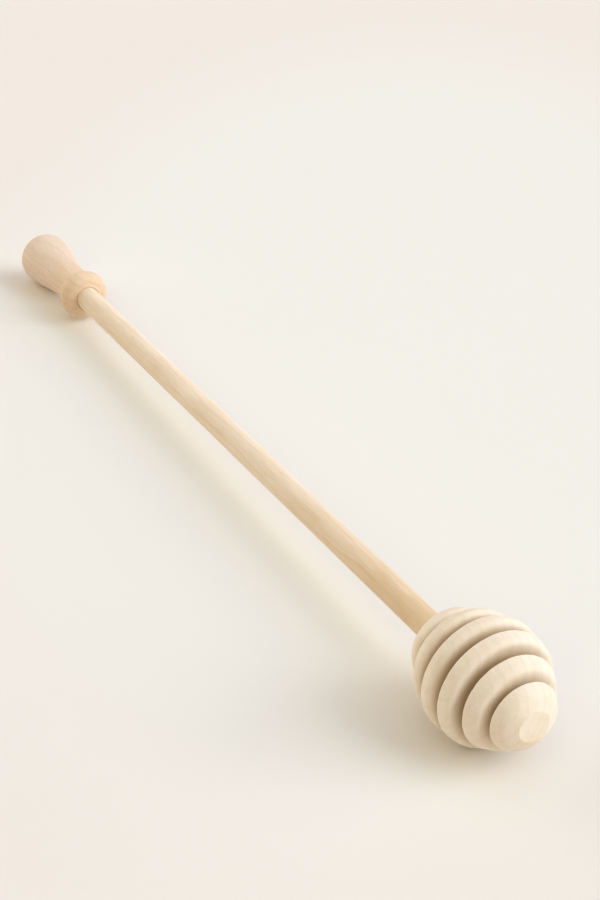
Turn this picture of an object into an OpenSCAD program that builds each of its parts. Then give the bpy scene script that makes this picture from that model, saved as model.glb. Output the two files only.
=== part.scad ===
// A honey dipper: a turned head with ribs, a plain dowel and a turned end knob.
// It lies at rest on its widest rib and its knob. The head is towards +X, the knob towards -X.
// Every turned outline is a list of [along, radius, rounding]: the distance from that piece's
// own front end, the distance from the turning axis, and the radius that rounds the corner.

/* [Dowel] */
// Diameter of the dowel
dowel_d = 6.35; // [6:0.05:6.6]
// Length of dowel that shows between the head and the knob
dowel_exposed = 182; // [120:1:260]
// Length of dowel glued into the head
head_tenon = 16; // [10:0.5:20]
// Length of dowel glued into the knob
knob_tenon = 14; // [8:0.5:16]
// Chamfer on both ends of the dowel
tenon_chamfer = 0.6; // [0.2:0.1:1]

/* [Head] */
// Radius of the small flat face at the nose
nose_r = 3.6; // [2.5:0.1:4]
// Width of each rib's rim along the axis
rim_w = 3.2; // [2.8:0.1:3.4]
// Depth of the grooves below the rims beside them
groove_depth = 4.6; // [3:0.1:5]
// Least radius of the core that the grooves leave
core_r = 4.5; // [4.2:0.1:5]
// Slope of the groove walls, as the part of the depth that each leans by
groove_lean = 0.09; // [0.05:0.01:0.14]
// Radius that rounds the edge of each rim towards the dowel
rear_round = 0.3; // [0.2:0.1:0.6]
// Radius that rounds the edge of each rim towards the nose
front_round = 1.4; // [0.8:0.1:1.6]
// Radius that rounds the corners of the groove floors
floor_round = 0.8; // [0.5:0.1:0.9]
// Length of the dome behind the last rib
back_dome = 2.4; // [1.5:0.1:4]

/* [Knob] */
// Radius of the bead beside the dowel
bead_r = 6.8; // [5.8:0.1:7.5]
// Thickness of the bead along the axis
bead_w = 6.2; // [5.4:0.1:7]
// Radius of the neck between the bead and the bulb
neck_r = 4.8; // [4.4:0.1:5.2]
// Radius of the bulb at its widest
bulb_r = 7.1; // [6.4:0.1:9]
// Distance from the bead's front to the bulb's widest circle
bulb_at = 31; // [26:0.2:34]
// Length of the bulb's rounded end
bulb_end = 4; // [3:0.1:7]
// How boxy the bulb's rounded end is: 1 is an ellipse and less is boxier
cap_power = 0.8; // [0.5:0.05:1]
// Where the neck's hollow swell turns into the round bulb, as a part of the swell's length
swell_meet = 0.6; // [0.4:0.05:0.8]

/* [Fit] */
// Gap for glue all round the tenons
glue_gap = 0.03; // [0.02:0.01:0.1]
// Free depth left past the tenons' ends
socket_spare = 1; // [0.5:0.1:2]

/* [Hidden] */
$fn = 96;
dowel_r = dowel_d / 2;
socket_r = dowel_r + glue_gap;
drill_tip = 0.3 * socket_r;
// Steps in each rounded corner of an outline, and in each long arc of one
corner_steps = 5;
arc_steps = 8;

// The rear edge of each rib, from the nose to the dowel: where it is, and its radius
rib_at = [4.0, 9.0, 14.4, 20.2, 26.3, 32.0];
rib_r = [8.1, 11.2, 13.4, 13.4, 11.4, 8.2];
last = len(rib_at) - 1;
// How fast the egg shape of the head grows along the axis at each rib. The last rib falls away
// a little faster than the one before it.
last_fall = 1.15;
inner_slope = [for (i = [1:last - 1]) (rib_r[i + 1] - rib_r[i - 1]) / (rib_at[i + 1] - rib_at[i - 1])];
rib_slope = concat([0], inner_slope, [last_fall * inner_slope[last - 2]]);
function rim_front_r(i) = rib_r[i] - rim_w * rib_slope[i];
// The nose: its edge, and the corner that its domed shoulder is rounded from
nose_round = 0.4;
shoulder = [1.5, 6.7, 3.5];
// The back: the rounding of the last rib, and the lip round the dowel
last_round = 0.9;
back_lip = 1.9;
back_round = 0.5;
head_len = rib_at[last] + back_dome;
back_r = dowel_r + back_lip;

// Each groove runs between a rib's rear edge and the next rib's front edge
function groove_bottom(i) = max(core_r, min(rib_r[i], rim_front_r(i + 1)) - groove_depth);
lean_in = groove_lean * groove_depth;
groove_points = [for (i = [0:last - 1]) each [
    [rib_at[i], rib_r[i], rear_round],
    [rib_at[i] + lean_in, groove_bottom(i), floor_round],
    [rib_at[i + 1] - rim_w - lean_in, groove_bottom(i), floor_round],
    [rib_at[i + 1] - rim_w, rim_front_r(i + 1), front_round]]];
head_corners = concat(
    [[0, 0, 0], [0, nose_r, nose_round], shoulder],
    groove_points,
    [[rib_at[last], rib_r[last], last_round], [head_len, back_r, back_round], [head_len, 0, 0]]);

// The bulb swells from the neck in a hollow arc and a round one, and ends in a rounded cap
neck_run = 1.5;
neck_at = bead_w + neck_run;
swell = bulb_r - neck_r;
swell_len = bulb_at - neck_at;
both_arcs = (swell_len * swell_len + swell * swell) / (2 * swell);
hollow_arc = swell_meet * both_arcs;
full_arc = both_arcs - hollow_arc;
swell_turn = 2 * atan(swell / swell_len);
knob_len = bulb_at + bulb_end;
// The bead is a round section between a narrow lip round the dowel and the neck
bead_lip = 0.8;
bead_h = bead_w / 2;
bead_mid_r = bead_r - bead_h;
lip_r = dowel_r + bead_lip;
bead_from = asin((lip_r - bead_mid_r) / bead_h);
bead_to = 180 - asin((neck_r - bead_mid_r) / bead_h);
knob_points = concat(
    [[0, 0], [0, lip_r]],
    [for (k = [0:2 * arc_steps]) let (a = bead_from + (bead_to - bead_from) * k / (2 * arc_steps))
        [bead_h * (1 - cos(a)), bead_mid_r + bead_h * sin(a)]],
    [for (k = [0:arc_steps]) let (a = swell_turn * k / arc_steps)
        [neck_at + hollow_arc * sin(a), neck_r + hollow_arc * (1 - cos(a))]],
    [for (k = [1:arc_steps]) let (a = swell_turn * (1 - k / arc_steps))
        [bulb_at - full_arc * sin(a), bulb_r - full_arc * (1 - cos(a))]],
    [for (k = [1:2 * arc_steps]) let (a = 90 * k / (2 * arc_steps))
        [bulb_at + bulb_end * sin(a), bulb_r * pow(cos(a), cap_power)]]);

// Points that round corner b, between a and c, to radius b[2]
function flat(p) = [p[0], p[1]];
function unit(v) = v / norm(v);
function rounded_corner(a, b, c) =
    let (u = unit(flat(a) - flat(b)), v = unit(flat(c) - flat(b)), half = acos(u * v) / 2)
    let (reach = min(b[2] / tan(half), 0.48 * norm(flat(a) - flat(b)), 0.48 * norm(flat(c) - flat(b))))
    let (r = reach * tan(half), centre = flat(b) + unit(u + v) * r / sin(half))
    let (from = flat(b) + u * reach - centre, to = flat(b) + v * reach - centre, span = 180 - 2 * half)
    [for (k = [0:corner_steps]) let (t = k / corner_steps)
        centre + (sin((1 - t) * span) * from + sin(t * span) * to) / sin(span)];
function rounded_outline(p) = [for (i = [0:len(p) - 1])
    each p[i][2] == 0 ? [flat(p[i])] : rounded_corner(p[i - 1], p[i], p[i + 1])];
head_points = rounded_outline(head_corners);

// The circles that the dipper lies on, and how far its axis leans down towards the knob
head_touch_r = max([for (p = head_points) p[1]]);
head_touch_at = [for (p = head_points) if (p[1] == head_touch_r) p[0]][0];
knob_at = head_len + dowel_exposed;
lean = atan((head_touch_r - bulb_r) / (knob_at + bulb_at - head_touch_at));
lift = head_touch_r * cos(lean) + head_touch_at * sin(lean);
overall = (knob_at + knob_len) * cos(lean);
nose_overhang = nose_r * sin(lean);

// A solid turned from an outline of [along, radius] points, with its seam underneath
module turned(points) {
    rotate([0, 0, 180]) rotate_extrude() polygon([for (p = points) [p[1], p[0]]]);
}

// A blind drilled hole from the mouth at z = 0 down to z = -depth, with the drill's shallow cone
module socket(depth) {
    translate([0, 0, -depth]) cylinder(h = depth + 1, r = socket_r);
    translate([0, 0, -depth - drill_tip]) cylinder(h = drill_tip, r1 = 0, r2 = socket_r);
}

// Places a piece drawn along +Z from the nose so that the dipper lies on the table
module laid_down(along) {
    translate([overall / 2 - nose_overhang / 2, 0, lift])
        rotate([0, -90 - lean, 0])
            translate([0, 0, along]) children();
}

module dipper_head() {
    color("#dcc6a0") laid_down(0) difference() {
        turned(head_points);
        translate([0, 0, head_len]) socket(head_tenon + socket_spare);
    }
}

module handle_dowel() {
    color("#d3a868") laid_down(head_len - head_tenon) {
        length = head_tenon + dowel_exposed + knob_tenon;
        translate([0, 0, tenon_chamfer]) cylinder(h = length - 2 * tenon_chamfer, r = dowel_r);
        cylinder(h = tenon_chamfer, r1 = dowel_r - tenon_chamfer, r2 = dowel_r);
        translate([0, 0, length - tenon_chamfer])
            cylinder(h = tenon_chamfer, r1 = dowel_r, r2 = dowel_r - tenon_chamfer);
    }
}

module end_knob() {
    color("#cda98a") laid_down(knob_at) difference() {
        turned(knob_points);
        mirror([0, 0, 1]) socket(knob_tenon + socket_spare);
    }
}

dipper_head();
handle_dowel();
end_knob();
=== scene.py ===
import bpy
import numpy as np
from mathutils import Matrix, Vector


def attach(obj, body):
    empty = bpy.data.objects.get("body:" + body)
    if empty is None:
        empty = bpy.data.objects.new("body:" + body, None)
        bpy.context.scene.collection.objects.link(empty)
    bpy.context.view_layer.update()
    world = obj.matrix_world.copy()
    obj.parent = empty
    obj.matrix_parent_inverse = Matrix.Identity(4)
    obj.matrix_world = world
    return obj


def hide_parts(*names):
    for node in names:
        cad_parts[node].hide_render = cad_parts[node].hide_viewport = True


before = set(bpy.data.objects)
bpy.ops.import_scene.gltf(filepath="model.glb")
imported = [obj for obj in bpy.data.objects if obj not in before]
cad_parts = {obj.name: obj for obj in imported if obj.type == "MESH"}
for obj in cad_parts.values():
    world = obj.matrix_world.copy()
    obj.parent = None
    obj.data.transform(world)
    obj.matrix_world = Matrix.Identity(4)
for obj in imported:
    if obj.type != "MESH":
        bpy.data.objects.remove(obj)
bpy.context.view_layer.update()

MM = 0.001

# ---- Sizes, in millimetres: the same driving dimensions as the part's source ----
DOWEL_D = 6.35
DOWEL_EXPOSED = 182.0
HEAD_TENON = 16.0
KNOB_TENON = 14.0
TENON_CHAMFER = 0.6
NOSE_R = 3.6
RIM_W = 3.2
GROOVE_DEPTH = 4.6
CORE_R = 4.5
GROOVE_LEAN = 0.09
REAR_ROUND = 0.3
FRONT_ROUND = 1.4
FLOOR_ROUND = 0.8
BACK_DOME = 2.4
BEAD_R = 6.8
BEAD_W = 6.2
NECK_R = 4.8
NECK_RUN = 1.5
BULB_R = 7.1
BULB_AT = 31.0
BULB_END = 4.0
CAP_POWER = 0.8
SWELL_MEET = 0.6
BEAD_LIP = 0.8
GLUE_GAP = 0.03
SOCKET_SPARE = 1.0
# The rear edge of each rib, from the nose to the dowel: where it is, and its radius
RIB_AT = np.array([4.0, 9.0, 14.4, 20.2, 26.3, 32.0])
RIB_R = np.array([8.1, 11.2, 13.4, 13.4, 11.4, 8.2])
# How much faster the head's egg shape falls away at the last rib than at the one before it
LAST_FALL = 1.15
NOSE_ROUND = 0.4
# The corner (along, radius, rounding) that the nose's domed shoulder is rounded from
SHOULDER = [1.5, 6.7, 3.5]
LAST_ROUND = 0.9
BACK_LIP = 1.9
BACK_ROUND = 0.5
# The height of the drill's cone at the bottom of a socket, as a part of the socket's radius
DRILL_CONE = 0.3

DOWEL_R = DOWEL_D / 2
SOCKET_R = DOWEL_R + GLUE_GAP
DRILL_TIP = DRILL_CONE * SOCKET_R
HEAD_LEN = RIB_AT[-1] + BACK_DOME
KNOB_AT = HEAD_LEN + DOWEL_EXPOSED
KNOB_LEN = BULB_AT + BULB_END
BACK_R = DOWEL_R + BACK_LIP

# ---- What the scene adds to the source's shapes, in millimetres ----
MOUTH_ROUND = 0.12
TENON_END_ROUND = 0.1
CHAMFER_ROUND = 0.2
# How far the knob's end, the head, the rod and the knob's swell are sanded down
END_SANDED = 0.005
HEAD_SANDED = 0.014
ROD_SANDED = 0.02
SWELL_SANDED = 0.01
# How far the head and the knob dried oval, how deep the rims' edges are rubbed, and how wide the band is
# that is rubbed and carries a painted highlight
HEAD_OVAL = 0.02
KNOB_OVAL = 0.015
EDGE_RUBBED = 0.05
EDGE_WIDTH = 0.25
# How fine each surface is: the distance between its outline's points, and its steps in a turn
HEAD_FINENESS = (0.36, 240)
ROD_FINENESS = (0.6, 96)
KNOB_FINENESS = (0.34, 192)
# Points in each arc of the knob's outline: the bead, each half of the swell, the cap
BEAD_POINTS, SWELL_POINTS, CAP_POINTS = 33, 17, 33
# Steps in each rounded corner, and the most of a side that one corner's rounding may take
HEAD_CORNER_STEPS, ROD_CORNER_STEPS = 6, 3
CORNER_REACH = 0.48


# ---- Turned outlines ----
def rounded(corners, steps):
    """The outline through corners (along, radius, rounding). Each corner gives way to an arc of its
    rounding radius that touches both of its sides, drawn in steps."""
    corners = np.array(corners, float)
    flat = corners[:, :2]
    points = [flat[:1]]
    for a, b, c, rounding in zip(flat, flat[1:], flat[2:], corners[1:-1, 2]):
        if rounding == 0:
            points.append(b[None])
            continue
        u, v = (a - b) / np.linalg.norm(a - b), (c - b) / np.linalg.norm(c - b)
        half = np.arccos(u @ v) / 2
        shorter = min(np.linalg.norm(a - b), np.linalg.norm(c - b))
        reach = min(rounding / np.tan(half), CORNER_REACH * shorter)
        centre = b + (u + v) / np.linalg.norm(u + v) * reach / np.cos(half)
        start, end = b + u * reach - centre, b + v * reach - centre
        span = np.pi - 2 * half
        t = np.linspace(0, 1, steps + 1)[:, None]
        points.append(centre + (np.sin((1 - t) * span) * start + np.sin(t * span) * end) / np.sin(span))
    return np.vstack(points + [flat[-1:]])


def refined(outline, spacing):
    """The same outline with points added so that no two are further apart than the spacing."""
    run = np.append(0, np.cumsum(np.linalg.norm(np.diff(outline, axis=0), axis=1)))
    pieces = np.maximum(1, np.ceil(np.diff(run) / spacing)).astype(int)
    step = np.repeat(np.diff(run) / pieces, pieces)
    stations = np.append(0, np.cumsum(step))
    return np.column_stack([np.interp(stations, run, outline[:, 0]),
                            np.interp(stations, run, outline[:, 1])])


def rib_fronts():
    """Where each rim's front edge is, and its radius: the rear radius less the rim width times the
    slope of the head's egg shape, which is the difference of the rib's neighbours over their distance."""
    slope = np.zeros(len(RIB_AT))
    slope[1:-1] = (RIB_R[2:] - RIB_R[:-2]) / (RIB_AT[2:] - RIB_AT[:-2])
    slope[-1] = slope[-2] * LAST_FALL
    return RIB_AT - RIM_W, RIB_R - RIM_W * slope


def socket_outline(mouth, depth):
    """A blind drilled hole of that depth from the mouth towards smaller distances, then its cone."""
    return [[mouth, SOCKET_R, MOUTH_ROUND], [mouth - depth, SOCKET_R, 0],
            [mouth - depth - DRILL_TIP, 0, 0]]


def head_outline():
    """A flat nose, a domed shoulder, then a groove with leaning walls before each rib, and the dome
    that closes round the dowel."""
    front_at, front_r = rib_fronts()
    floor_r = np.maximum(CORE_R, np.minimum(RIB_R[:-1], front_r[1:]) - GROOVE_DEPTH)
    lean_in = GROOVE_LEAN * GROOVE_DEPTH
    corners = [[0, 0, 0], [0, NOSE_R, NOSE_ROUND], SHOULDER]
    for i, bottom in enumerate(floor_r):
        corners += [[RIB_AT[i], RIB_R[i], REAR_ROUND], [RIB_AT[i] + lean_in, bottom, FLOOR_ROUND],
                    [front_at[i + 1] - lean_in, bottom, FLOOR_ROUND],
                    [front_at[i + 1], front_r[i + 1], FRONT_ROUND]]
    corners += [[RIB_AT[-1], RIB_R[-1], LAST_ROUND], [HEAD_LEN, BACK_R, BACK_ROUND]]
    return rounded(corners + socket_outline(HEAD_LEN, HEAD_TENON + SOCKET_SPARE), HEAD_CORNER_STEPS)


def dowel_outline():
    """A rod with a chamfer at both ends."""
    start, end = HEAD_LEN - HEAD_TENON, KNOB_AT + KNOB_TENON
    inner = DOWEL_R - TENON_CHAMFER
    return rounded([[start, 0, 0], [start, inner, TENON_END_ROUND],
                    [start + TENON_CHAMFER, DOWEL_R, CHAMFER_ROUND],
                    [end - TENON_CHAMFER, DOWEL_R, CHAMFER_ROUND], [end, inner, TENON_END_ROUND],
                    [end, 0, 0]], ROD_CORNER_STEPS)


def knob_outline():
    """A round bead, a neck that swells to the bulb in a hollow arc and a round one, and a cap of radius
    bulb times cos(angle) to the power CAP_POWER. The arcs meet at SWELL_MEET of the swell's length."""
    half = BEAD_W / 2
    middle = BEAD_R - half
    lip_r = DOWEL_R + BEAD_LIP
    lip_turn, neck_turn = np.arcsin((lip_r - middle) / half), np.arcsin((NECK_R - middle) / half)
    a = np.linspace(lip_turn, np.pi - neck_turn, BEAD_POINTS)
    bead = np.column_stack([half * (1 - np.cos(a)), middle + half * np.sin(a)])
    neck_at = BEAD_W + NECK_RUN
    swell, length = BULB_R - NECK_R, BULB_AT - neck_at
    arcs = (length ** 2 + swell ** 2) / (2 * swell)
    hollow, full = SWELL_MEET * arcs, (1 - SWELL_MEET) * arcs
    a = np.linspace(0, 2 * np.arctan(swell / length), SWELL_POINTS)
    out = np.column_stack([neck_at + hollow * np.sin(a), NECK_R + hollow * (1 - np.cos(a))])
    back = np.column_stack([BULB_AT - full * np.sin(a), BULB_R - full * (1 - np.cos(a))])[::-1]
    a = np.linspace(0, np.pi / 2, CAP_POINTS)
    cap = np.column_stack([BULB_AT + (BULB_END - END_SANDED) * np.sin(a), BULB_R * np.cos(a) ** CAP_POWER])
    cap[-1, 1] = 0
    depth = KNOB_TENON + SOCKET_SPARE
    hole = [[depth + DRILL_TIP, 0], [depth, SOCKET_R], [MOUTH_ROUND, SOCKET_R],
            [0, SOCKET_R + MOUTH_ROUND], [0, lip_r]]
    return np.vstack([hole, bead, out, back[1:], cap[1:]]) + [KNOB_AT, 0]


# ---- Where the dipper lies: on its widest rib and its bulb ----
head_points = head_outline()
touch = head_points[np.argmax(head_points[:, 1])]
LEAN = np.arctan((touch[1] - BULB_R) / (KNOB_AT + BULB_AT - touch[0]))
LIFT = touch[1] * np.cos(LEAN) + touch[0] * np.sin(LEAN)
NOSE_X = (KNOB_AT + KNOB_LEN) * np.cos(LEAN) / 2 - NOSE_R * np.sin(LEAN) / 2
NOSE = np.array([NOSE_X, 0, LIFT])
ALONG = np.array([-np.cos(LEAN), 0, -np.sin(LEAN)])
UP = np.array([-np.sin(LEAN), 0, np.cos(LEAN)])
SIDE = np.array([0, 1, 0])


def ripple(turn, run, seed, count, turns, run_scale):
    """A smooth random surface, mostly between -2 and 2: the sum of count cosines over the root of
    count. Each goes a whole number of times round the piece, between the two of turns, and has a
    random length along it, of run_scale millimetres or more."""
    rng = np.random.default_rng(seed)
    around = rng.integers(turns[0], turns[1] + 1, count)[:, None, None]
    lengthwise = rng.uniform(-1, 1, count)[:, None, None] / run_scale
    phase = rng.uniform(0, 2 * np.pi, count)[:, None, None]
    waves = np.cos(around * turn[None] + 2 * np.pi * lengthwise * run[None] + phase)
    return waves.sum(axis=0) / np.sqrt(count)


def turned(name, outline, fineness, dent, rims=(), envelope=None):
    """A closed surface of revolution. Outline point (along, radius) at turn t lies at
    nose + along * axis + radius * (cos t * up + sin t * side). The first and last points are on the
    axis and close the poles. dent(turn, run, edge) is how far the surface is worn in. rims are the
    rims' edges, and envelope the shape that joins them, as (along, radius).
    Point attributes: run, the distance along the outline; edge, 1 on a rim's edge and 0 away from it;
    depth, 0 on the rims and 1 on the groove floors; endgrain, 1 where a wall cuts across the fibres."""
    spacing, turns = fineness
    outline = refined(outline, spacing)
    step = np.diff(outline, axis=0)
    length = np.linalg.norm(step, axis=1)
    run = np.append(0, np.cumsum(length))
    slope = np.gradient(outline[:, 1], run)
    edge = np.zeros(len(run))
    for at, radius in rims:
        nearest = run[np.argmin(np.hypot(outline[:, 0] - at, outline[:, 1] - radius))]
        edge = np.maximum(edge, np.exp(-((run - nearest) / EDGE_WIDTH) ** 2))
    depth = np.zeros(len(run))
    if envelope is not None:
        between_rims = (outline[:, 0] > envelope[0][0]) & (outline[:, 0] < envelope[0][-1])
        below = (np.interp(outline[:, 0], *envelope) - outline[:, 1]) / GROOVE_DEPTH
        depth = np.where(between_rims, np.clip(below, 0, 1), 0)

    inner = outline[1:-1]
    turn, row_run = np.meshgrid(np.arange(turns) * 2 * np.pi / turns, run[1:-1])
    radius = inner[:, 1:] - dent(turn, row_run, edge[1:-1, None])
    around = np.cos(turn)[..., None] * UP + np.sin(turn)[..., None] * SIDE
    grid = NOSE + inner[:, :1, None] * ALONG + radius[..., None] * around
    poles = NOSE + outline[[0, -1], :1] * ALONG
    verts = np.vstack([grid.reshape(-1, 3), poles]) * MM

    rows = len(inner)
    index = np.arange(rows * turns).reshape(rows, turns)
    after = np.roll(index, -1, axis=1)
    quads = np.stack([index[:-1], index[1:], after[1:], after[:-1]], axis=-1).reshape(-1, 4)
    first, last = rows * turns, rows * turns + 1
    start = np.column_stack([np.full(turns, first), index[0], after[0]])
    end = np.column_stack([np.full(turns, last), after[-1], index[-1]])

    mesh = bpy.data.meshes.new(name)
    mesh.from_pydata(verts, [], quads.tolist() + start.tolist() + end.tolist())
    mesh.polygons.foreach_set("use_smooth", np.ones(len(mesh.polygons), bool))
    for label, values in (("run", run), ("edge", edge), ("depth", depth), ("endgrain", slope ** 2)):
        spread = np.append(np.repeat(values[1:-1], turns), [values[0], values[-1]])
        mesh.attributes.new(label, "FLOAT", "POINT").data.foreach_set("value", spread.astype(np.float32))
    mesh.validate()
    mesh.update()
    piece = bpy.data.objects.new(name, mesh)
    bpy.context.scene.collection.objects.link(piece)
    return piece


def dried_oval(turn, shrink, phase):
    """How far the wood has shrunk at each turn: shrink * (1 + cos(2 * turn + phase))."""
    return shrink * (1 + np.cos(2 * turn + phase))


def head_wear(turn, run, edge):
    """The head is sanded down a little and dried oval, and its rims' edges are rubbed and nicked."""
    nicks = 0.5 + 0.5 * ripple(turn, run, seed=3, count=24, turns=(3, 40), run_scale=6.0)
    return HEAD_SANDED + dried_oval(turn, HEAD_OVAL, phase=0.7) + edge * EDGE_RUBBED * np.clip(nicks, 0, 2)


def rod_wear(turn, run, edge):
    """The rod's flats and hollows from the dowel cutter, a few hundredths of a millimetre deep."""
    uneven = ripple(turn, run, seed=5, count=16, turns=(2, 9), run_scale=60.0).clip(-2, 2)
    return ROD_SANDED * (1 + 0.5 * uneven)


def knob_wear(turn, run, edge):
    """The knob dried a little oval, and its sanded swell is uneven."""
    uneven = ripple(turn, run, seed=7, count=12, turns=(1, 6), run_scale=12.0).clip(-2, 2)
    return dried_oval(turn, KNOB_OVAL, phase=2.1) + SWELL_SANDED * (1 + 0.5 * uneven)


# ---- Node helpers ----
def place(tree, kind, inputs=(), **settings):
    """A node of that kind. inputs maps a socket's name or number to a value or to what feeds it."""
    node = tree.nodes.new("ShaderNode" + kind)
    for key, value in settings.items():
        setattr(node, key, value)
    for key, value in dict(inputs).items():
        if isinstance(value, bpy.types.NodeSocket):
            tree.links.new(value, node.inputs[key])
        else:
            node.inputs[key].default_value = value
    return node


def calc(tree, operation, *values, clamp=False):
    """One Math node's result."""
    return place(tree, "Math", enumerate(values), operation=operation, use_clamp=clamp).outputs[0]


def between(tree, value, low, high, start=0.0, end=1.0):
    """value as it goes from low to high, smoothly from start to end."""
    node = place(tree, "MapRange", {0: value, 1: low, 2: high, 3: start, 4: end},
                 interpolation_type="SMOOTHSTEP")
    return node.outputs[0]


def blend(tree, factor, first, second, how="MIX"):
    """Two colours mixed by a factor."""
    node = place(tree, "Mix", {0: factor, 6: first, 7: second}, data_type="RGBA", blend_type=how)
    return node.outputs[2]


def noise(tree, vector, detail, roughness=0.5):
    """A noise between 0 and 1, whose humps are about one unit of the vector apart."""
    return place(tree, "TexNoise", {"Vector": vector, "Scale": 1.0, "Detail": detail,
                                    "Roughness": roughness}).outputs["Fac"]


def stretched(tree, vector, along, across):
    """Coordinates scaled along the fibres and across them."""
    return place(tree, "VectorMath", {0: vector, 1: (along, across, across)},
                 operation="MULTIPLY").outputs[0]


def effect(name, inputs, outputs):
    """An empty node group with named sockets, each input given as (label, kind, default)."""
    group = bpy.data.node_groups.new(name, "ShaderNodeTree")
    for label, kind, default in inputs:
        socket = group.interface.new_socket(label, in_out="INPUT", socket_type="NodeSocket" + kind)
        socket.default_value = default
    for label in outputs:
        group.interface.new_socket(label, in_out="OUTPUT", socket_type="NodeSocketFloat")
    return group, group.nodes.new("NodeGroupInput").outputs, group.nodes.new("NodeGroupOutput").inputs


# ---- Effects that the woods share ----
# How far the growth rings wander, in rings, how late in a ring its wood turns dark, and within what
# part of the next ring it clears
RING_WANDER, RING_LATE, RING_CLEARS = 3.0, 3.5, 0.12
# The noise levels between which a fleck, a rubbed patch with its painted highlight, a streak, a patch of
# the mottle sets in
FLECKS_FROM, RUBBED_AND_HIGHLIT_FROM, STREAKS_FROM, MOTTLE_FROM = (0.66, 0.78), (0.25, 0.6), (0.25, 0.75), (0.3, 0.7)
# How far the mottle deepens a wood's tone, and how far flecks and the grooves' painted shade take it to the
# dark one
MOTTLE_TONE, FLECK_TONE, GROOVE_SHADE_TONE = 0.3, 0.22, 0.72
# The parts of a groove's depth between which its painted shade darkens it
GROOVE_SHADE_FROM = (0.1, 0.75)
# The painted highlight on the rims' rubbed edges: its colour, and how much of it
EDGE_HIGHLIGHT_COLOUR, EDGE_HIGHLIGHT_TONE = (0.99, 0.92, 0.79, 1), 0.8
# The relief of the surface: its depth in millimetres, its strength, and the streaks' part of it
RELIEF_DEPTH, RELIEF_STRENGTH, STREAK_RELIEF = 0.02, 0.45, 0.5
# The roughness of sanded wood, what fibres and end grain add to it, and what rubbing takes off
SANDED_ROUGH, FIBRE_ROUGH, ENDGRAIN_ROUGH, RUBBED_SMOOTH = 0.52, 0.18, 0.08, 0.08
WOOD_SPECULAR, WOOD_IOR = 0.35, 1.45


def wood_figure():
    """Growth rings round a pith line beside the piece, long fibre streaks, short dark flecks and a
    broad mottle. Space is in millimetres with x along the fibres. Each ring darkens slowly to its late
    wood, by the power RING_LATE of the way through it, and clears within RING_CLEARS of the next."""
    tree, given, result = effect("wood_figure", [
        ("Space", "Vector", (0, 0, 0)), ("Pith", "Vector", (0, -30, 20)), ("Ring Width", "Float", 1.6),
        ("Fibre Width", "Float", 0.35)], ["Rings", "Fibres", "Flecks", "Mottle"])
    space = given["Space"]
    waver = noise(tree, stretched(tree, space, along=0.02, across=0.09), detail=2.0)
    offset = place(tree, "VectorMath", {0: space, 1: given["Pith"]}, operation="SUBTRACT").outputs[0]
    across_fibres = stretched(tree, offset, along=0.0, across=1.0)
    radius = place(tree, "VectorMath", {0: across_fibres}, operation="LENGTH").outputs["Value"]
    wandered = calc(tree, "ADD", calc(tree, "DIVIDE", radius, given["Ring Width"]),
                    calc(tree, "MULTIPLY", waver, RING_WANDER))
    within = calc(tree, "FRACT", wandered)
    late = calc(tree, "POWER", within, RING_LATE)
    clearing = between(tree, within, 0.0, RING_CLEARS, 1.0, 0.0)
    tree.links.new(calc(tree, "MAXIMUM", late, clearing), result["Rings"])
    finer = calc(tree, "DIVIDE", 1.0, given["Fibre Width"])
    fine = place(tree, "VectorMath", {0: stretched(tree, space, along=0.045, across=1.0), 3: finer},
                 operation="SCALE").outputs[0]
    tree.links.new(noise(tree, fine, detail=3.0, roughness=0.6), result["Fibres"])
    dashes = noise(tree, stretched(tree, space, along=0.55, across=5.5), detail=1.0)
    tree.links.new(between(tree, dashes, *FLECKS_FROM), result["Flecks"])
    mottle = noise(tree, stretched(tree, space, along=0.05, across=0.16), detail=3.0, roughness=0.6)
    tree.links.new(mottle, result["Mottle"])
    return tree


def turning_marks():
    """Rings left by the gouge and the sandpaper, as a height: fine and coarse noise along the
    outline that hardly changes round the piece."""
    tree, given, result = effect("turning_marks", [
        ("Run", "Float", 0.0), ("Space", "Vector", (0, 0, 0)), ("Coarse", "Float", 0.8)], ["Height"])
    drift = stretched(tree, given["Space"], along=0.0, across=0.05)
    for_run = place(tree, "CombineXYZ", {"X": given["Run"]}).outputs[0]
    rings = place(tree, "VectorMath", {0: for_run, 1: drift}, operation="ADD").outputs[0]
    fine = noise(tree, stretched(tree, rings, along=5.0, across=1.0), detail=2.0, roughness=0.7)
    coarse = noise(tree, stretched(tree, rings, along=0.9, across=0.6), detail=1.0)
    scaled = calc(tree, "MULTIPLY", coarse, given["Coarse"])
    tree.links.new(calc(tree, "ADD", scaled, fine), result["Height"])
    return tree


def rubbed_and_highlit_edge():
    """Where handling has rubbed a rim's edge, which is smoothed and carries a painted highlight: the edge
    mask broken up by noise.
    """
    tree, given, result = effect("rubbed_and_highlit_edge", [
        ("Edge", "Float", 0.0), ("Space", "Vector", (0, 0, 0))], ["Rubbed"])
    broken = noise(tree, stretched(tree, given["Space"], along=0.7, across=0.7), detail=3.0, roughness=0.65)
    patchy = between(tree, broken, *RUBBED_AND_HIGHLIT_FROM)
    tree.links.new(calc(tree, "MULTIPLY", given["Edge"], patchy, clamp=True), result["Rubbed"])
    return tree


FIGURE, MARKS, RUBBED_AND_HIGHLIT = wood_figure(), turning_marks(), rubbed_and_highlit_edge()


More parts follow.
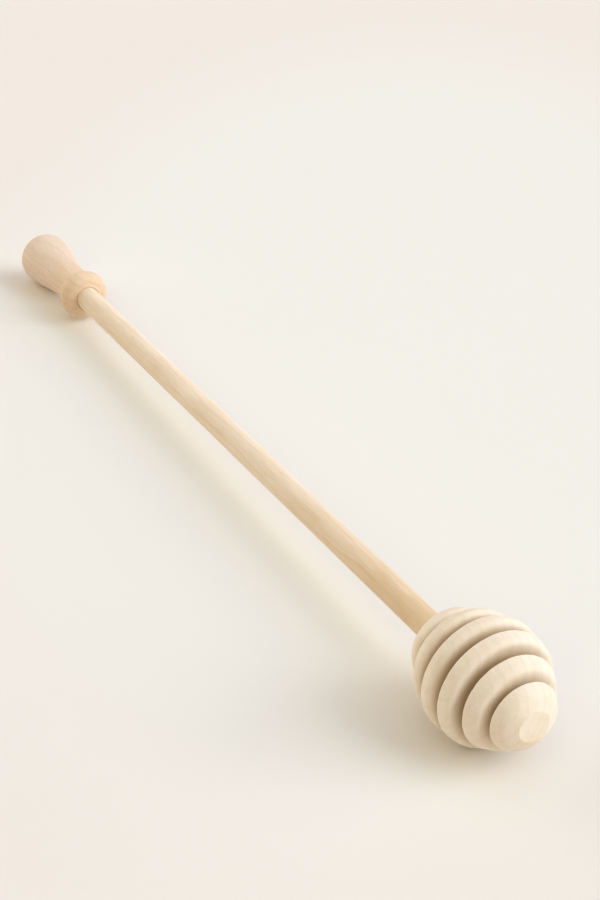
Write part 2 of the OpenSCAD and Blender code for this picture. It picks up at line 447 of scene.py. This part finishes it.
def bare_wood(name, pale, deep, dark, pith, ring_width, ring_tone, fibre_tone, marks_relief,
              endgrain_tone=0.1, deepens=None, heart=None):
    """Unvarnished sanded wood. Its colour lies between the pale and the deep tone: rings, fibres, the
    mottle and end grain each add their part of the way. Flecks, and the painted shade in the grooves, take
    it to the dark tone, and a painted highlight lightens the rims' rubbed edges.
    deepens is (where along the axis the tone starts to deepen, where it is deepest, by how much), and
    heart is (where the heartwood starts, where it is full, its tint), in millimetres."""
    material = bpy.data.materials.new(name)
    material.use_nodes = True
    tree = material.node_tree
    tree.nodes.clear()
    where = place(tree, "TexCoord").outputs["Object"]
    space = place(tree, "Mapping", {"Vector": where, "Rotation": (0, LEAN, 0),
                                    "Scale": (1 / MM,) * 3}, vector_type="POINT").outputs[0]
    run, edge, depth, endgrain = (
        place(tree, "Attribute", attribute_name=label).outputs["Fac"]
        for label in ("run", "edge", "depth", "endgrain"))
    figure = place(tree, "Group", {"Space": space, "Pith": pith, "Ring Width": ring_width},
                   node_tree=FIGURE).outputs
    marks = place(tree, "Group", {"Run": run, "Space": space}, node_tree=MARKS).outputs["Height"]
    rubbed_and_highlit = place(tree, "Group", {"Edge": edge, "Space": space}, node_tree=RUBBED_AND_HIGHLIT).outputs["Rubbed"]
    streaks = between(tree, figure["Fibres"], *STREAKS_FROM)
    along = place(tree, "SeparateXYZ", {0: space}).outputs["X"]

    tone = calc(tree, "ADD", calc(tree, "MULTIPLY", figure["Rings"], ring_tone),
                calc(tree, "MULTIPLY", streaks, fibre_tone))
    patches = calc(tree, "MULTIPLY", between(tree, figure["Mottle"], *MOTTLE_FROM), MOTTLE_TONE)
    if deepens:
        start, end, deeper = deepens
        patches = calc(tree, "ADD", patches, between(tree, along, start, end, 0.0, deeper))
    tone = calc(tree, "ADD", tone, patches)
    tone = calc(tree, "ADD", tone, calc(tree, "MULTIPLY", endgrain, endgrain_tone), clamp=True)
    colour = blend(tree, tone, pale, deep)
    if heart:
        start, full, tint = heart
        colour = blend(tree, between(tree, along, start, full), colour, tint, "MULTIPLY")
    colour = blend(tree, calc(tree, "MULTIPLY", figure["Flecks"], FLECK_TONE), colour, dark)
    # Painted shade: the grooves are darkened towards the dark tone as they deepen
    groove_shade = calc(tree, "MULTIPLY", between(tree, depth, *GROOVE_SHADE_FROM), GROOVE_SHADE_TONE)
    colour = blend(tree, groove_shade, colour, dark)
    # Painted highlight: the rims' rubbed edges are lightened towards the highlight colour
    colour = blend(tree, calc(tree, "MULTIPLY", rubbed_and_highlit, EDGE_HIGHLIGHT_TONE), colour, EDGE_HIGHLIGHT_COLOUR)

    grain = calc(tree, "SUBTRACT", calc(tree, "MULTIPLY", streaks, STREAK_RELIEF), figure["Flecks"])
    height = calc(tree, "ADD", grain, calc(tree, "MULTIPLY", marks, marks_relief))
    normal = place(tree, "Bump", {"Strength": RELIEF_STRENGTH, "Distance": RELIEF_DEPTH * MM,
                                  "Height": height}).outputs[0]
    rough = calc(tree, "ADD", calc(tree, "MULTIPLY", figure["Fibres"], FIBRE_ROUGH),
                 calc(tree, "MULTIPLY", endgrain, ENDGRAIN_ROUGH))
    rough = calc(tree, "SUBTRACT", calc(tree, "ADD", rough, SANDED_ROUGH),
                 calc(tree, "MULTIPLY", rubbed_and_highlit, RUBBED_SMOOTH))
    surface = place(tree, "BsdfPrincipled", {"Base Color": colour, "Roughness": rough, "Normal": normal,
                                             "Specular IOR Level": WOOD_SPECULAR, "IOR": WOOD_IOR})
    output = place(tree, "OutputMaterial", {"Surface": surface.outputs[0]})
    output.is_active_output = True
    return material


def head_wood():
    """Pale cream hardwood with faint rings and streaks."""
    return bare_wood("head_wood", pale=(0.96, 0.84, 0.69, 1), deep=(0.79, 0.63, 0.44, 1),
                     dark=(0.37, 0.22, 0.075, 1), pith=(0, -34, 26), ring_width=2.3, ring_tone=0.17,
                     fibre_tone=0.24, marks_relief=0.8)


def dowel_wood():
    """Straight-grained yellow rod, deeper in tone towards the head."""
    return bare_wood("dowel_wood", pale=(0.95, 0.81, 0.65, 1), deep=(0.78, 0.565, 0.345, 1),
                     dark=(0.45, 0.29, 0.13, 1), pith=(0, 22, -17), ring_width=1.1, ring_tone=0.25,
                     fibre_tone=0.35, marks_relief=0.25, deepens=(10, 88, 0.5))


def knob_wood():
    """Pinkish hardwood, yellower towards the bead."""
    return bare_wood("knob_wood", pale=(0.885, 0.72, 0.575, 1), deep=(0.74, 0.53, 0.365, 1),
                     dark=(0.45, 0.30, 0.19, 1), pith=(0, -26, -30), ring_width=2.0, ring_tone=0.25,
                     fibre_tone=0.35, marks_relief=0.8, endgrain_tone=0.35,
                     heart=(-112, -96, (1.0, 0.95, 0.845, 1)))


# ---- The three pieces ----
def add_piece(piece, node, material):
    """The piece stands for its CAD node, which is hidden, and gets its own material."""
    piece.data.materials.append(material)
    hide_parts(node)
    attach(piece, "root")


def build_head():
    front_at, front_r = rib_fronts()
    order = np.argsort(np.append(RIB_AT, front_at[1:]))
    envelope = (np.append(RIB_AT, front_at[1:])[order], np.append(RIB_R, front_r[1:])[order])
    piece = turned("ribbed_head", head_points, HEAD_FINENESS, head_wear, zip(RIB_AT, RIB_R), envelope)
    add_piece(piece, "dipper_head", head_wood())


def build_dowel():
    piece = turned("handle_rod", dowel_outline(), ROD_FINENESS, rod_wear)
    add_piece(piece, "handle_dowel", dowel_wood())


def build_knob():
    piece = turned("turned_knob", knob_outline(), KNOB_FINENESS, knob_wear)
    add_piece(piece, "end_knob", knob_wood())


build_head()
build_dowel()
build_knob()


# ---- Table, light and camera ----
LIGHT_POOL_TABLE_TONE = (0.891, 0.858, 0.790, 1)
TABLE_RIM_TONE = (0.886, 0.811, 0.737, 1)
BACKDROP_TONE = (0.900, 0.833, 0.758, 1)
FILL_TINT = (0.148, 0.071, 0.034, 1)
TABLE_SIZE = 4.0
# The table carries a painted pool of light: it is palest in a soft oval. Its middle and half widths are in
# millimetres, and its long axis' angle in degrees. The rim's tone is reached at LIGHT_POOL_FADE times the
# half widths.
LIGHT_POOL_MIDDLE, LIGHT_POOL_TURN, LIGHT_POOL_HALF, LIGHT_POOL_FADE = (-53, 79, 0), 145.6, (157, 87), 1.66
# Faint clouds in the table's tone: how many there are to a metre, and the tone of the darkest
CLOUDS, CLOUD_TONE = 6.0, 0.985
TABLE_ROUGH, TABLE_SPECULAR = 0.8, 0.1
# The camera: where it stands from the nose, in millimetres, how it is turned, in degrees, its lens and
# the longer side of its picture, in millimetres
CAMERA_FROM_NOSE = np.array([224.923, -176.838, 242.628])
CAMERA_TURN = (57.628, -0.045, 61.010)
LENS, SENSOR = 76, 36
# Soft lamps: (name, azimuth and elevation it shines from, its spread, in degrees, what it gives the
# table, tint). Azimuth 0 is +X and 90 is +Y. With the fill they light the table at a level of 1.
LAMPS = [("key_window", 46, 31, 42, 0.236, (0.90, 1.01, 1.09)),
         ("low_window", 66, 15, 36, 0.059, (0.92, 1.00, 1.08)),
         ("high_window", 48, 50, 44, 0.145, (0.85, 0.94, 1.21)),
         ("ceiling_bounce", 60, 80, 60, 0.094, (0.73, 1.05, 1.22)),
         ("left_wall_bounce", -50, 50, 60, 0.175, (1.06, 1.10, 0.84)),
         ("back_wall_bounce", 145, 50, 60, 0.093, (0.92, 0.93, 1.15)),
         ("far_wall_bounce", -150, 20, 60, 0.129, (1.00, 1.03, 0.97))]


def lay_table():
    """One pale square, flush with what the dipper lies on, with a painted pool of light on it."""
    half = TABLE_SIZE / 2
    mesh = bpy.data.meshes.new("table_top")
    mesh.from_pydata([(-half, -half, 0), (half, -half, 0), (half, half, 0), (-half, half, 0)], [],
                     [(0, 1, 2, 3)])
    table = bpy.data.objects.new("table_top", mesh)
    bpy.context.scene.collection.objects.link(table)
    material = bpy.data.materials.new("pale_table")
    material.use_nodes = True
    tree = material.node_tree
    surface = tree.nodes["Principled BSDF"]
    where = place(tree, "TexCoord").outputs["Object"]
    oval = place(tree, "Mapping", {"Vector": where, "Location": [v * MM for v in LIGHT_POOL_MIDDLE],
                                   "Rotation": (0, 0, np.radians(LIGHT_POOL_TURN)),
                                   "Scale": (LIGHT_POOL_HALF[0] * MM, LIGHT_POOL_HALF[1] * MM, 1)},
                 vector_type="TEXTURE").outputs[0]
    reach = place(tree, "VectorMath", {0: oval}, operation="LENGTH").outputs["Value"]
    # Painted pool of light: the table pales from its rim tone towards the oval's middle
    tone = blend(tree, between(tree, reach, 1.0, LIGHT_POOL_FADE), LIGHT_POOL_TABLE_TONE, TABLE_RIM_TONE)
    clouds = between(tree, noise(tree, stretched(tree, where, CLOUDS, CLOUDS), detail=2.0),
                     0.0, 1.0, 1.0, CLOUD_TONE)
    clouded = place(tree, "VectorMath", {0: tone, 3: clouds}, operation="SCALE").outputs[0]
    tree.links.new(clouded, surface.inputs["Base Color"])
    surface.inputs["Roughness"].default_value = TABLE_ROUGH
    surface.inputs["Specular IOR Level"].default_value = TABLE_SPECULAR
    mesh.materials.append(material)


def light_room():
    """Soft lamps, and an even fill from the whole room. Rays from the camera, and what gloss or glass
    would show, see the backdrop's tone."""
    for name, azimuth, elevation, spread, share, tint in LAMPS:
        turn, rise = np.radians([azimuth, elevation])
        lamp = bpy.data.objects.new(name, bpy.data.lights.new(name, "SUN"))
        lamp.data.energy = share * np.pi / np.sin(rise)
        lamp.data.angle = np.radians(spread)
        lamp.data.color = tint
        towards = Vector((np.cos(turn) * np.cos(rise), np.sin(turn) * np.cos(rise), np.sin(rise)))
        lamp.rotation_euler = towards.to_track_quat("Z", "Y").to_euler()
        bpy.context.scene.collection.objects.link(lamp)

    world = bpy.data.worlds.new("pale_room")
    world.use_nodes = True
    tree = world.node_tree
    tree.nodes.clear()
    path = place(tree, "LightPath").outputs
    seen = calc(tree, "MAXIMUM", path["Is Camera Ray"],
                calc(tree, "MAXIMUM", path["Is Glossy Ray"], path["Is Transmission Ray"]))
    fill = place(tree, "Background", {"Color": FILL_TINT, "Strength": 1.0}).outputs[0]
    backdrop = place(tree, "Background", {"Color": BACKDROP_TONE, "Strength": 1.0}).outputs[0]
    shown = place(tree, "MixShader", {0: seen, 1: fill, 2: backdrop}).outputs[0]
    place(tree, "OutputWorld", {"Surface": shown})
    bpy.context.scene.world = world


def set_camera():
    """The photograph's view: from above the head's right, 32 degrees down, with a 76 mm lens."""
    camera = bpy.data.objects.new("camera", bpy.data.cameras.new("camera"))
    camera.data.lens, camera.data.sensor_width = LENS, SENSOR
    camera.location = (NOSE + CAMERA_FROM_NOSE) * MM
    camera.rotation_euler = np.radians(CAMERA_TURN)
    camera.data.clip_start, camera.data.clip_end = 0.01, 20
    bpy.context.scene.collection.objects.link(camera)
    bpy.context.scene.camera = camera


lay_table()
light_room()
set_camera()
bpy.context.scene.view_settings.view_transform = "Standard"
